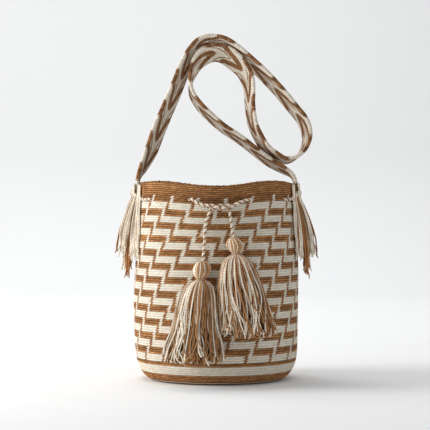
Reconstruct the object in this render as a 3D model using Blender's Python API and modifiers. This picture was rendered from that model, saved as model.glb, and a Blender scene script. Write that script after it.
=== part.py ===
"""Crocheted bucket bag with a woven shoulder strap, a twisted drawstring and two yarn tassels.

Metres, +Z up. The origin is the centre of the flat base, the front of the bag faces -Y, and the
strap is sewn on at the two sides, +X and -X. Angles round the bag start at the front, and grow
towards +X.
"""
import math

import bmesh
import bpy
from mathutils import Vector

# The crocheted body: one fabric shell, a barrel with a rounded bottom edge.
WALL = 0.0040
RIM_RADIUS = 0.1155
BELLY_RADIUS = 0.1250
CORNER_RADIUS = 0.1215
BASE_RADIUS = 0.0980
RIM_HEIGHT = 0.2969
NECK_HEIGHT = 0.2900
BELLY_HEIGHT = 0.1300
CORNER_HEIGHT = 0.0380
WALL_SIDES = 64
WALL_LEVELS = 13
CORNER_LEVELS = 6
# The mouth sags at the front and the back, and stands highest in between.
SAG_TWICE = 0.00195
SAG_FOUR_TIMES = 0.0026
SAG_FROM_HEIGHT = 0.2000

# The drawstring runs in and out through eight eyelets just under the rim.
CORD_RADIUS = 0.0021
GAP = 0.0004
EYELET_HEIGHT = 0.2720
EYELET_HALF_WIDTH = 0.0085
EYELET_HALF_HEIGHT = 0.0038
DRAWSTRING_TURN = 3.0
EYELET_ANGLES = (23.5, 58.5, 121.5, 156.5, 203.5, 238.5, 301.5, 336.5)
THREADING_ARC = 3.2
RING_STEP = 2.0
# The two ends are crossed in front, twisted once round each other.
KNOT_LEFT = -0.0065
KNOT_RIGHT = 0.0190
KNOT_AXIS_Y = -0.1225
KNOT_HEIGHT = 0.2612
KNOT_TWIST_RADIUS = 0.0026
KNOT_STEPS = 9

# The strap: a band woven flat, its two ends sewn to the outside of the rim.
STRAP_WIDTH = 0.0340
STRAP_THICKNESS = 0.0052
STRAP_STEPS = 96
SEAM_TOP = 0.2960
SEAM_BOTTOM = 0.2785
SEWING_RADIUS = 0.0007

TASSEL_SIDES = 16
FRINGE_SIDES = 12

YARN_BROWN = (0.36, 0.17, 0.065)
YARN_CREAM = (0.78, 0.72, 0.61)
YARN_TAN = (0.60, 0.42, 0.25)
YARN_ROUGHNESS = 0.9

# The strap's centre line: x, y, z and how far the width is turned out of the Y direction, in
# degrees. It rises from the left seam, goes over the top, turns back at the right, passes under
# itself at the top and comes down to the right seam.
STRAP_ROUTE = (
    (-0.1184, 0.000, 0.2800, 0), (-0.1187, 0.000, 0.2900, 0), (-0.1190, 0.000, 0.3000, 0),
    (-0.1166, 0.000, 0.3080, 5), (-0.1105, 0.000, 0.3200, 16), (-0.0982, 0.000, 0.3471, 25),
    (-0.0862, 0.000, 0.3798, 26), (-0.0720, 0.000, 0.4127, 26), (-0.0583, 0.000, 0.4456, 24),
    (-0.0452, 0.000, 0.4786, 22), (-0.0330, 0.000, 0.5000, 24), (-0.0190, 0.000, 0.5105, 25),
    (-0.0030, 0.000, 0.5115, 25), (0.0140, 0.000, 0.5075, 25), (0.0350, 0.000, 0.4925, 25),
    (0.0560, 0.000, 0.4745, 25), (0.0780, 0.000, 0.4530, 25), (0.0962, 0.000, 0.4332, 25),
    (0.1151, 0.000, 0.4103, 25), (0.1300, 0.000, 0.3913, 24), (0.1368, 0.000, 0.3724, 20),
    (0.1348, 0.000, 0.3542, 12), (0.1250, 0.000, 0.3388, 0), (0.1060, 0.000, 0.3303, -12),
    (0.0890, -0.001, 0.3370, -20), (0.0745, -0.002, 0.3480, -22), (0.0629, -0.002, 0.3671, -21),
    (0.0545, -0.001, 0.3868, -20), (0.0508, 0.000, 0.4127, -20), (0.0498, 0.000, 0.4358, -24),
    (0.0470, 0.000, 0.4520, -32), (0.0400, 0.000, 0.4670, -42), (0.0270, 0.000, 0.4800, -48),
    (0.0120, 0.000, 0.4905, -50), (-0.0030, 0.000, 0.4935, -50), (-0.0170, 0.000, 0.4885, -44),
    (-0.0290, 0.000, 0.4770, -30), (-0.0362, 0.000, 0.4610, -14), (-0.0392, 0.000, 0.4462, 0),
    (-0.0365, 0.000, 0.4300, 10), (-0.0260, 0.001, 0.4133, 16), (-0.0120, 0.002, 0.3985, 18),
    (0.0080, 0.003, 0.3810, 18), (0.0300, 0.004, 0.3660, 18), (0.0424, 0.004, 0.3573, 18),
    (0.0614, 0.004, 0.3421, 18), (0.0818, 0.003, 0.3270, 18), (0.1010, 0.002, 0.3165, 14),
    (0.1130, 0.001, 0.3090, 6), (0.1182, 0.000, 0.3010, 1), (0.1190, 0.000, 0.2940, 0),
    (0.1187, 0.000, 0.2870, 0), (0.1184, 0.000, 0.2800, 0),
)

# Where each end of the drawstring hangs free, from the crossing down to the top of its tassel.
END_ROUTE_LEFT = (
    (-0.0100, -0.1238, 0.2535), (-0.0130, -0.1250, 0.2460), (-0.0154, -0.1262, 0.2350),
    (-0.0168, -0.1280, 0.2220), (-0.0178, -0.1300, 0.2090), (-0.0190, -0.1320, 0.1960),
    (-0.0195, -0.1333, 0.1854),
)
END_ROUTE_RIGHT = (
    (0.0184, -0.1238, 0.2540), (0.0184, -0.1248, 0.2470), (0.0196, -0.1260, 0.2380),
    (0.0208, -0.1275, 0.2285), (0.0232, -0.1290, 0.2192),
)
LIFT_PIVOT_LEFT = (-0.0090, -0.1232, 0.2570)
LIFT_PIVOT_RIGHT = (0.0188, -0.1232, 0.2575)

# Each tassel from top to bottom: height, x of the middle, half width, y of the middle and half
# depth. The first rings are the ball, then the tied neck, then the skirt of loose yarn.
TASSEL_LEFT = (
    (0.1836, -0.0197, 0.0030, -0.1345, 0.0030), (0.1815, -0.0200, 0.0078, -0.1348, 0.0076),
    (0.1765, -0.0208, 0.0118, -0.1354, 0.0114), (0.1705, -0.0215, 0.0131, -0.1360, 0.0126),
    (0.1645, -0.0221, 0.0117, -0.1364, 0.0113), (0.1600, -0.0226, 0.0072, -0.1368, 0.0070),
    (0.1582, -0.0228, 0.0048, -0.1370, 0.0048), (0.1558, -0.0231, 0.0048, -0.1373, 0.0048),
    (0.1535, -0.0235, 0.0115, -0.1378, 0.0095), (0.1450, -0.0245, 0.0190, -0.1395, 0.0150),
    (0.1300, -0.0262, 0.0255, -0.1430, 0.0185), (0.1100, -0.0280, 0.0305, -0.1448, 0.0205),
    (0.0850, -0.0300, 0.0340, -0.1455, 0.0215), (0.0600, -0.0318, 0.0420, -0.1455, 0.0225),
    (0.0450, -0.0320, 0.0410, -0.1450, 0.0225), (0.0375, -0.0320, 0.0340, -0.1448, 0.0190),
)
TASSEL_RIGHT = (
    (0.2178, 0.0240, 0.0030, -0.1310, 0.0030), (0.2155, 0.0245, 0.0074, -0.1312, 0.0072),
    (0.2110, 0.0254, 0.0110, -0.1316, 0.0106), (0.2055, 0.0265, 0.0122, -0.1320, 0.0117),
    (0.2000, 0.0273, 0.0108, -0.1325, 0.0104), (0.1962, 0.0279, 0.0070, -0.1330, 0.0068),
    (0.1946, 0.0282, 0.0048, -0.1332, 0.0048), (0.1922, 0.0285, 0.0048, -0.1335, 0.0048),
    (0.1900, 0.0288, 0.0112, -0.1345, 0.0095), (0.1815, 0.0302, 0.0185, -0.1380, 0.0150),
    (0.1680, 0.0325, 0.0250, -0.1425, 0.0185), (0.1480, 0.0358, 0.0305, -0.1450, 0.0205),
    (0.1220, 0.0398, 0.0345, -0.1455, 0.0215), (0.0980, 0.0440, 0.0370, -0.1450, 0.0225),
    (0.0830, 0.0465, 0.0365, -0.1445, 0.0220), (0.0755, 0.0470, 0.0300, -0.1440, 0.0185),
)
BINDING_RING_RADIUS = 0.0063
BINDING_YARN_RADIUS = 0.0011
BINDING_RING = 6

# The loose yarn ends below each seam, from top to bottom: height, distance of the middle from
# the bag's axis, half thickness and half width along Y.
FRINGE_LEFT = (
    (0.2780, 0.1262, 0.0022, 0.0150), (0.2700, 0.1272, 0.0030, 0.0165),
    (0.2560, 0.1305, 0.0065, 0.0180), (0.2400, 0.1336, 0.0095, 0.0195),
    (0.2150, 0.1372, 0.0125, 0.0210), (0.1950, 0.1395, 0.0135, 0.0215),
    (0.1750, 0.1378, 0.0115, 0.0200), (0.1560, 0.1350, 0.0070, 0.0170),
)
FRINGE_RIGHT = (
    (0.2780, 0.1262, 0.0022, 0.0150), (0.2700, 0.1275, 0.0032, 0.0165),
    (0.2560, 0.1310, 0.0070, 0.0180), (0.2400, 0.1345, 0.0100, 0.0195),
    (0.2150, 0.1390, 0.0130, 0.0210), (0.1950, 0.1410, 0.0140, 0.0215),
    (0.1750, 0.1395, 0.0120, 0.0200), (0.1560, 0.1385, 0.0075, 0.0170),
)


def clear_scene():
    for old in list(bpy.data.objects):
        bpy.data.objects.remove(old, do_unlink=True)


def new_collection(name):
    collection = bpy.data.collections.new(name)
    bpy.context.scene.collection.children.link(collection)
    return collection


def yarn_material(name, colour):
    material = bpy.data.materials.new(name)
    material.use_nodes = True
    shader = material.node_tree.nodes["Principled BSDF"]
    shader.inputs["Base Color"].default_value = (*colour, 1.0)
    shader.inputs["Roughness"].default_value = YARN_ROUGHNESS
    return material


def add_object(name, data, collection, material=None):
    made = bpy.data.objects.new(name, data)
    collection.objects.link(made)
    if material:
        data.materials.append(material)
    return made


def mesh_of(source):
    """The evaluated object as a plain mesh, its doubled points merged."""
    bpy.context.view_layer.update()
    graph = bpy.context.evaluated_depsgraph_get()
    mesh = bpy.data.meshes.new_from_object(source.evaluated_get(graph))
    shape = bmesh.new()
    shape.from_mesh(mesh)
    bmesh.ops.remove_doubles(shape, verts=shape.verts, dist=1e-5)
    shape.to_mesh(mesh)
    shape.free()
    return mesh


def smoothstep(low, high, value):
    t = min(1.0, max(0.0, (value - low) / (high - low)))
    return t * t * (3.0 - 2.0 * t)


def on_circle(radius, degrees, height):
    """The point at that angle round the bag, counted from the front towards +X."""
    angle = math.radians(degrees)
    return Vector((radius * math.sin(angle), -radius * math.cos(angle), height))


def wall_radius(height):
    """Outer radius of the upright wall."""
    if height >= BELLY_HEIGHT:
        t = min(1.0, (height - BELLY_HEIGHT) / (NECK_HEIGHT - BELLY_HEIGHT))
        return RIM_RADIUS + (BELLY_RADIUS - RIM_RADIUS) * 0.5 * (1.0 + math.cos(math.pi * t))
    t = (BELLY_HEIGHT - height) / (BELLY_HEIGHT - CORNER_HEIGHT)
    return BELLY_RADIUS - (BELLY_RADIUS - CORNER_RADIUS) * t * t


def wall_profile():
    """The outer side from the rim down to the middle of the base, as points at +X."""
    points = []
    for i in range(WALL_LEVELS + 1):
        height = RIM_HEIGHT + (CORNER_HEIGHT - RIM_HEIGHT) * i / WALL_LEVELS
        points.append((wall_radius(height), 0.0, height))
    for i in range(1, CORNER_LEVELS + 1):
        angle = math.pi / 2 * i / CORNER_LEVELS
        points.append((
            BASE_RADIUS + (CORNER_RADIUS - BASE_RADIUS) * math.cos(angle),
            0.0,
            CORNER_HEIGHT * (1.0 - math.sin(angle)),
        ))
    points.append((0.0, 0.0, 0.0))
    return points


def sag_of_rim(x, y):
    """How far the mouth stands above or below its mean height at that side of the bag."""
    angle = math.atan2(x, -y)
    return -SAG_TWICE * math.cos(2 * angle) - SAG_FOUR_TIMES * math.cos(4 * angle)


def make_body(collection, cutters, material):
    """The crocheted shell: a turned surface, its mouth sagged, thickened and cut by the eyelets."""
    profile = bpy.data.meshes.new("wall_profile")
    points = wall_profile()
    profile.from_pydata(points, [(i, i + 1) for i in range(len(points) - 1)], [])
    turned = add_object("turned_wall", profile, cutters)
    screw = turned.modifiers.new("turn", "SCREW")
    screw.steps = WALL_SIDES
    screw.render_steps = WALL_SIDES
    screw.use_merge_vertices = True
    screw.merge_threshold = 0.00005
    mesh = mesh_of(turned)
    bpy.data.objects.remove(turned)
    for point in mesh.vertices:
        share = smoothstep(SAG_FROM_HEIGHT, RIM_HEIGHT, point.co.z)
        point.co.z += share * sag_of_rim(point.co.x, point.co.y)
    body = add_object("bag_body", mesh, collection, material)
    thicken = body.modifiers.new("fabric", "SOLIDIFY")
    thicken.thickness = WALL
    thicken.offset = -1.0
    for i, angle in enumerate(EYELET_ANGLES):
        cutter = make_eyelet_cutter(f"eyelet_cutter_{i + 1}", angle + DRAWSTRING_TURN, cutters)
        cut = body.modifiers.new(f"eyelet_{i + 1}", "BOOLEAN")
        cut.object = cutter
        cut.operation = "DIFFERENCE"
    return body


def make_eyelet_cutter(name, degrees, cutters):
    """An oval rod through the wall, wider along the rows than across them."""
    shape = bmesh.new()
    bmesh.ops.create_cone(
        shape, cap_ends=True, segments=16, radius1=1.0, radius2=1.0, depth=WALL * 6,
    )
    bmesh.ops.scale(shape, vec=(EYELET_HALF_WIDTH, EYELET_HALF_HEIGHT, 1.0), verts=shape.verts)
    mesh = bpy.data.meshes.new(name)
    shape.to_mesh(mesh)
    shape.free()
    cutter = add_object(name, mesh, cutters)
    cutter.rotation_euler = (math.pi / 2, 0.0, math.radians(degrees))
    cutter.location = on_circle(wall_radius(EYELET_HEIGHT) - WALL / 2, degrees, EYELET_HEIGHT)
    cutter.hide_render = True
    cutter.display_type = "WIRE"
    return cutter


def smooth_route(points, count):
    """count points spread evenly along a smooth curve through the given ones."""
    points = [tuple(p) for p in points]
    dense = []
    per_span = 12
    for i in range(len(points) - 1):
        before, start = points[max(i - 1, 0)], points[i]
        end, after = points[i + 1], points[min(i + 2, len(points) - 1)]
        for k in range(per_span):
            t = k / per_span
            dense.append(tuple(
                0.5 * (2 * b + (c - a) * t + (2 * a - 5 * b + 4 * c - d) * t * t
                       + (3 * b - a - 3 * c + d) * t * t * t)
                for a, b, c, d in zip(before, start, end, after)
            ))
    dense.append(points[-1])
    along = [0.0]
    for a, b in zip(dense, dense[1:]):
        along.append(along[-1] + math.dist(a[:3], b[:3]))
    made, span = [], 0
    for k in range(count):
        wanted = along[-1] * k / (count - 1)
        while span < len(dense) - 2 and along[span + 1] < wanted:
            span += 1
        share = (wanted - along[span]) / max(along[span + 1] - along[span], 1e-9)
        made.append(tuple(a + (b - a) * share for a, b in zip(dense[span], dense[span + 1])))
    return made


def make_tube(name, points, radius, collection, material, closed=False):
    """A cord: a poly curve with a round bevel and filled ends."""
    curve = bpy.data.curves.new(name, "CURVE")
    curve.dimensions = "3D"
    curve.bevel_depth = radius
    curve.bevel_resolution = 2
    curve.use_fill_caps = not closed
    spline = curve.splines.new("POLY")
    spline.points.add(len(points) - 1)
    for control, point in zip(spline.points, points):
        control.co = (point[0], point[1], point[2], 1.0)
    spline.use_cyclic_u = closed
    return add_object(name, curve, collection, material)


def make_loft(name, rings, collection, material):
    """A closed body through rings of equally many points, with flat ends."""
    shape = bmesh.new()
    layers = [[shape.verts.new(point) for point in ring] for ring in rings]
    count = len(rings[0])
    for upper, lower in zip(layers, layers[1:]):
        for i in range(count):
            j = (i + 1) % count
            shape.faces.new((upper[i], upper[j], lower[j], lower[i]))
    shape.faces.new(layers[0][::-1])
    shape.faces.new(layers[-1])
    bmesh.ops.recalc_face_normals(shape, faces=shape.faces)
    mesh = bpy.data.meshes.new(name)
    shape.to_mesh(mesh)
    shape.free()
    made = add_object(name, mesh, collection, material)
    made.data.shade_smooth()
    made.data.set_sharp_from_angle(angle=math.radians(50))
    return made


def threading_radius(degrees, outside, inside):
    """Distance of the drawstring from the axis: it swaps sides of the wall at each eyelet."""
    radius = outside
    for i, eyelet in enumerate(EYELET_ANGLES):
        passed = smoothstep(
            eyelet - THREADING_ARC, eyelet + THREADING_ARC, degrees - DRAWSTRING_TURN,
        )
        radius += passed * (inside - outside) * (1 if i % 2 == 0 else -1)
    return radius


def knot_strand(phase):
    """One of the two strands twisted once round each other, from left to right."""
    points = []
    for i in range(KNOT_STEPS + 1):
        t = i / KNOT_STEPS
        turn = 2 * math.pi * t + phase
        points.append((
            KNOT_LEFT + (KNOT_RIGHT - KNOT_LEFT) * t,
            KNOT_AXIS_Y - KNOT_TWIST_RADIUS * math.cos(turn),
            KNOT_HEIGHT + KNOT_TWIST_RADIUS * math.sin(turn),
        ))
    return points


def drawstring_route():
    """The threaded stretch, from the left hanging end round the mouth to the right one."""
    wall = wall_radius(EYELET_HEIGHT)
    outside = wall + CORD_RADIUS + GAP
    inside = wall - WALL - CORD_RADIUS - GAP
    first = EYELET_ANGLES[0] + DRAWSTRING_TURN - THREADING_ARC * 1.5
    last = EYELET_ANGLES[-1] + DRAWSTRING_TURN + THREADING_ARC * 1.5
    steps = round((last - first) / RING_STEP)
    ring = []
    for i in range(steps + 1):
        degrees = first + (last - first) * i / steps
        ring.append(on_circle(threading_radius(degrees, outside, inside), degrees, EYELET_HEIGHT))
    to_right = [(-0.0088, -0.1228, 0.2580)] + knot_strand(-math.pi / 2)
    to_right += [(0.0245, -0.1208, 0.2640), (0.0325, -0.1172, 0.2675)]
    from_left = [(-0.0290, -0.1185, 0.2680), (-0.0160, -0.1215, 0.2650)]
    from_left += knot_strand(math.pi / 2) + [(0.0190, -0.1228, 0.2583)]
    return to_right + ring + from_left


def strap_sections():
    """The strap's rings: its width turns about the route as the last number of each point says."""
    route = smooth_route(STRAP_ROUTE, STRAP_STEPS)
    half_width, half_depth = STRAP_WIDTH / 2, STRAP_THICKNESS / 2
    rim = half_depth * 0.45
    outline = (
        (-half_width, -rim), (-half_width + rim, -half_depth), (0.0, -half_depth),
        (half_width - rim, -half_depth), (half_width, -rim), (half_width, rim),
        (half_width - rim, half_depth), (0.0, half_depth), (-half_width + rim, half_depth),
        (-half_width, rim),
    )
    rings = []
    for i, point in enumerate(route):
        here = Vector(point[:3])
        before = Vector(route[max(i - 1, 0)][:3])
        after = Vector(route[min(i + 1, len(route) - 1)][:3])
        ahead = (after - before).normalized()
        inward = ahead.cross(Vector((0.0, -1.0, 0.0))).normalized()
        turn = math.radians(point[3])
        across = Vector((0.0, math.cos(turn), 0.0)) + inward * math.sin(turn)
        across = (across - ahead * across.dot(ahead)).normalized()
        through = ahead.cross(across)
        rings.append([here + across * u + through * v for u, v in outline])
    return rings


def ellipse_ring(height, middle_x, half_width, middle_y, half_depth, sides):
    return [
        (middle_x + half_width * math.cos(2 * math.pi * i / sides),
         middle_y + half_depth * math.sin(2 * math.pi * i / sides), height)
        for i in range(sides)
    ]


def make_tassel(side, rings, collection, yarn, binding):
    """The yarn bundle, folded over the cord's end and tied: ball, neck and skirt are one piece."""
    make_loft(
        f"tassel_{side}",
        [ellipse_ring(*ring, TASSEL_SIDES) for ring in rings],
        collection, yarn,
    )
    upper, lower = rings[BINDING_RING], rings[BINDING_RING + 1]
    middle = [(a + b) / 2 for a, b in zip(upper, lower)]
    ring = [
        (middle[1] + BINDING_RING_RADIUS * math.cos(2 * math.pi * i / TASSEL_SIDES),
         middle[3] + BINDING_RING_RADIUS * math.sin(2 * math.pi * i / TASSEL_SIDES), middle[0])
        for i in range(TASSEL_SIDES)
    ]
    make_tube(
        f"tassel_binding_{side}", ring, BINDING_YARN_RADIUS, collection, binding, closed=True,
    )


def make_fringe(name, levels, sign, collection, material):
    rings = [
        ellipse_ring(height, sign * distance, thickness, 0.0, width, FRINGE_SIDES)
        for height, distance, thickness, width in levels
    ]
    return make_loft(name, rings, collection, material)


def make_sewing(name, sign, collection, material):
    """The line of stitches that holds a strap end: down one side, across and up the other."""
    inset = 0.0030
    half = STRAP_WIDTH / 2 - inset
    bottom, top = SEAM_BOTTOM + inset, SEAM_TOP - inset
    distance = 0.1187 + STRAP_THICKNESS / 2 + SEWING_RADIUS + GAP
    corners = ((-half, top), (-half, bottom), (half, bottom), (half, top))
    points = [(sign * distance, y, z) for y, z in corners]
    return make_tube(name, points, SEWING_RADIUS, collection, material)


def main():
    clear_scene()
    bag = new_collection("crocheted_bag")
    cutters = new_collection("cutters")
    brown = yarn_material("brown_yarn", YARN_BROWN)
    cream = yarn_material("cream_yarn", YARN_CREAM)
    tan = yarn_material("tan_yarn", YARN_TAN)
    make_body(bag, cutters, brown)
    make_loft("strap", strap_sections(), bag, cream)
    make_tube("drawstring", drawstring_route(), CORD_RADIUS, bag, tan)
    for side, sign, fringe in (("left", -1, FRINGE_LEFT), ("right", 1, FRINGE_RIGHT)):
        make_fringe(f"strap_fringe_{side}", fringe, sign, bag, cream)
        make_sewing(f"strap_sewing_{side}", sign, bag, brown)
    hanging = (
        ("left", END_ROUTE_LEFT, LIFT_PIVOT_LEFT, TASSEL_LEFT),
        ("right", END_ROUTE_RIGHT, LIFT_PIVOT_RIGHT, TASSEL_RIGHT),
    )
    for side, route, pivot, tassel in hanging:
        smooth = smooth_route(route, len(route) + 3)
        make_tube(f"drawstring_end_{side}", smooth, CORD_RADIUS, bag, tan)
        make_tassel(side, tassel, bag, tan, brown)


main()
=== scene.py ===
import math

import bpy
import numpy as np
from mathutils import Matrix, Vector


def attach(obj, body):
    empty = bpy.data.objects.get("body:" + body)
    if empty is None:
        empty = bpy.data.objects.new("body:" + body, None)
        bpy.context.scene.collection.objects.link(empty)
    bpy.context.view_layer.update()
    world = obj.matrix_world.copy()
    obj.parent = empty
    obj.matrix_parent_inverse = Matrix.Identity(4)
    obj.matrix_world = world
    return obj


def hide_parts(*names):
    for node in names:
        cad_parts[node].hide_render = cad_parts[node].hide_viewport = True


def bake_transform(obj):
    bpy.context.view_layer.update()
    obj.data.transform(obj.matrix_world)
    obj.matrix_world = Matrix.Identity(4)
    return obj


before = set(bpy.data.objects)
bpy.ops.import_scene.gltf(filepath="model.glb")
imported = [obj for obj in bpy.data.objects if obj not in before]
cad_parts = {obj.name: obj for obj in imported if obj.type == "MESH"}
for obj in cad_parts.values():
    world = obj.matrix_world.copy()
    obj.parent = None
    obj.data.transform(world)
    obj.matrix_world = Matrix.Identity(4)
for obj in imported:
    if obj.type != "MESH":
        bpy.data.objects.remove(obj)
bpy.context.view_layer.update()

TAU = 2.0 * math.pi

# A bag crocheted in two yarns, with a woven strap, a drawstring and two tassels.
# Lengths are in metres. The bag's axis is Z and its front faces -Y.

# Yarn colours, scene-linear.
CREAM = np.array((0.87, 0.775, 0.64))
TAN = np.array((0.56, 0.36, 0.205))
BROWN = np.array((0.40, 0.180, 0.068))

# ---------------------------------------------------------------- crochet grid
# Rows are counted down from the mouth. One crocheted line is 4/3 of a row high.
STITCHES = 270  # in one round
ROWS_WALL = 118
BASE_END_ROW = 158
LINE = 4.0 / 3.0
RING_STEP = LINE / 2.0  # a groove ring and a ridge ring in each line
INSIDE_COLUMNS = STITCHES // 2
LEAN = 0.205  # stitches that each row shifts sideways
FIRST_ANGLE = 6.59  # degrees from the front to stitch 0
WALL = 0.0040

# The stepped pattern: bands of three lines, crossed by narrow risers.
BAND_LINES = 3.0
PATTERN_START = 12.0
LINE_MIDDLE = 12.667  # the row at the middle of line 0
PATTERN_ROWS = (7.5, 103.5)
RISER_EVERY = 15.0  # stitches
RISER_WIDTH = 1.8
RISER_STEP = 2.0  # stitches that each band shifts the risers by
RISER_START = 300.85
LOW_CREAM_ROWS = (106.6, 111.8)
BASE_CREAM_ROW = 119.2  # a thin cream line where the bag meets the floor
BASE_FIRST_ROW = 120.0  # then brown and cream rings in turn
BASE_RING_ROWS = 9.0  # one brown and one cream ring
BASE_BROWN_ROWS = 5.5  # the brown ring's part of them

# Outer profile: (row, radius, height).
PROFILE = (
    (0.0, 0.1158, 0.2950), (4.0, 0.1161, 0.2862), (8.0, 0.1166, 0.2770), (12.0, 0.1171, 0.2676),
    (20.0, 0.1186, 0.2474), (28.0, 0.1203, 0.2288), (36.0, 0.1218, 0.2093), (44.0, 0.1231, 0.1890),
    (52.0, 0.1241, 0.1692), (60.0, 0.1248, 0.1487), (68.0, 0.1251, 0.1277), (76.0, 0.1251, 0.1069),
    (84.0, 0.1247, 0.0864), (92.0, 0.1240, 0.0655), (98.0, 0.1232, 0.0494), (104.0, 0.1212, 0.0336),
    (106.667, 0.1200, 0.0279), (109.333, 0.1178, 0.0212), (112.0, 0.1145, 0.0147),
    (115.0, 0.1100, 0.0086), (118.0, 0.1048, 0.0040), (120.0, 0.1003, 0.0015), (122.0, 0.0950, 0.0004),
)
FLAT_ROW, FLAT_RADIUS, FLAT_HEIGHT = PROFILE[-1]
FLOOR_INSIDE = 0.0046

# The mouth's wave, as the height of two and of four waves round it.
SAG_TWICE = 0.00195
SAG_FOUR_TIMES = 0.0026
SAG_FROM_HEIGHT = 0.190
EYELET_HEIGHT = 0.2720
EYELET_RADIUS = 0.1165
EYELET_ANGLES = (26.5, 61.5, 124.5, 159.5, 206.5, 241.5, 304.5, 339.5)
DIMPLE_WIDTH, DIMPLE_HEIGHT = 0.0050, 0.0030
DIMPLE_OUTSIDE, DIMPLE_INSIDE = 0.0026, -0.0012

# ---------------------------------------------------------------- strap
STRAP_HALF = 0.0170  # half the width
STRAP_EDGE = 0.0030  # half the thickness, near the edges and in the middle
STRAP_MIDDLE = 0.0022
STRAP_PERIOD = 0.0509  # one repeat of the pattern
STRAP_THREAD = 0.0042  # one thread's slanting pass
STRAP_BORDER = 0.76  # where the border blocks begin, as a share of the half width
STRAP_LANES = 7.0
# The strap's middle line, as (x, y, z, turn): turn is how many degrees its width
# is turned away from the front-to-back direction.
STRAP_ROUTE = (
    (-0.1184, 0.000, 0.2800, 0), (-0.1187, 0.000, 0.2900, 0), (-0.1190, 0.000, 0.3000, 0),
    (-0.1166, 0.000, 0.3080, 5), (-0.1105, 0.000, 0.3200, 16), (-0.0982, 0.000, 0.3471, 30),
    (-0.0862, 0.000, 0.3798, 31), (-0.0720, 0.000, 0.4127, 31), (-0.0583, 0.000, 0.4456, 30),
    (-0.0452, 0.000, 0.4786, 27), (-0.0330, 0.000, 0.5000, 24), (-0.0190, 0.000, 0.5105, 25),
    (-0.0030, 0.000, 0.5115, 25), (0.0140, 0.000, 0.5075, 25), (0.0350, 0.000, 0.4925, 25),
    (0.0560, 0.000, 0.4745, 25), (0.0780, 0.000, 0.4530, 25), (0.0962, 0.000, 0.4332, 25),
    (0.1151, 0.000, 0.4103, 25), (0.1300, 0.000, 0.3913, 24), (0.1368, 0.000, 0.3724, 20),
    (0.1348, 0.000, 0.3542, 12), (0.1250, 0.000, 0.3388, 0), (0.1060, 0.000, 0.3303, -12),
    (0.0890, -0.001, 0.3370, -20), (0.0745, -0.002, 0.3480, -22), (0.0629, -0.002, 0.3671, -21),
    (0.0545, -0.001, 0.3868, -20), (0.0508, 0.000, 0.4127, -20), (0.0498, 0.000, 0.4358, -24),
    (0.0470, 0.000, 0.4520, -32), (0.0400, 0.000, 0.4670, -42), (0.0270, 0.000, 0.4800, -48),
    (0.0120, 0.000, 0.4905, -50), (-0.0030, 0.000, 0.4935, -50), (-0.0170, 0.000, 0.4885, -44),
    (-0.0290, 0.000, 0.4770, -30), (-0.0362, 0.000, 0.4610, -14), (-0.0392, 0.000, 0.4462, 0),
    (-0.0365, 0.000, 0.4300, 10), (-0.0260, 0.001, 0.4133, 16), (-0.0120, 0.002, 0.3985, 18),
    (0.0080, 0.003, 0.3810, 18), (0.0300, 0.004, 0.3660, 18), (0.0424, 0.004, 0.3573, 18),
    (0.0614, 0.004, 0.3421, 18), (0.0818, 0.003, 0.3270, 18), (0.1010, 0.002, 0.3165, 14),
    (0.1130, 0.001, 0.3090, 6), (0.1182, 0.000, 0.3010, 1), (0.1190, 0.000, 0.2940, 0),
    (0.1187, 0.000, 0.2870, 0), (0.1184, 0.000, 0.2800, 0),
)

# ---------------------------------------------------------------- cord and tassels
CORD_RADIUS = 0.0023
CORD_LAY = 0.0085  # length in which a ply goes once round
# The half knot at the front: its ends' x, its middle's y and z, and its radius.
KNOT_LEFT, KNOT_RIGHT, KNOT_Y, KNOT_Z, KNOT_R = -0.0065, 0.0180, -0.1228, 0.2615, 0.0023
END_LEFT = (
    (-0.0082, -0.1236, 0.2585), (-0.0112, -0.1244, 0.2510), (-0.0134, -0.1252, 0.2445),
    (-0.0156, -0.1262, 0.2350), (-0.0169, -0.1280, 0.2220), (-0.0176, -0.1300, 0.2090),
    (-0.0188, -0.1320, 0.1960), (-0.0197, -0.1337, 0.1810),
)
END_RIGHT = (
    (0.0172, -0.1236, 0.2580), (0.0192, -0.1244, 0.2520), (0.0206, -0.1252, 0.2450),
    (0.0218, -0.1264, 0.2370), (0.0228, -0.1278, 0.2285), (0.0243, -0.1300, 0.2150),
)
# Each tassel's outline from the top down: (height, middle x, half width, middle y,
# half depth). The neck is the seventh and eighth rows.
TASSEL_LEFT = (
    (0.1836, -0.0197, 0.0030, -0.1345, 0.0030), (0.1815, -0.0200, 0.0078, -0.1348, 0.0076),
    (0.1765, -0.0208, 0.0118, -0.1354, 0.0114), (0.1705, -0.0215, 0.0131, -0.1360, 0.0126),
    (0.1645, -0.0221, 0.0117, -0.1364, 0.0113), (0.1600, -0.0226, 0.0072, -0.1368, 0.0070),
    (0.1582, -0.0228, 0.0052, -0.1370, 0.0052), (0.1558, -0.0231, 0.0060, -0.1373, 0.0060),
    (0.1540, -0.0235, 0.0135, -0.1378, 0.0108), (0.1470, -0.0243, 0.0222, -0.1392, 0.0155),
    (0.1330, -0.0260, 0.0278, -0.1430, 0.0190), (0.1100, -0.0280, 0.0325, -0.1448, 0.0205),
    (0.0850, -0.0300, 0.0355, -0.1455, 0.0215), (0.0600, -0.0318, 0.0430, -0.1455, 0.0225),
    (0.0450, -0.0320, 0.0445, -0.1450, 0.0225), (0.0375, -0.0320, 0.0440, -0.1448, 0.0215),
)
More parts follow.
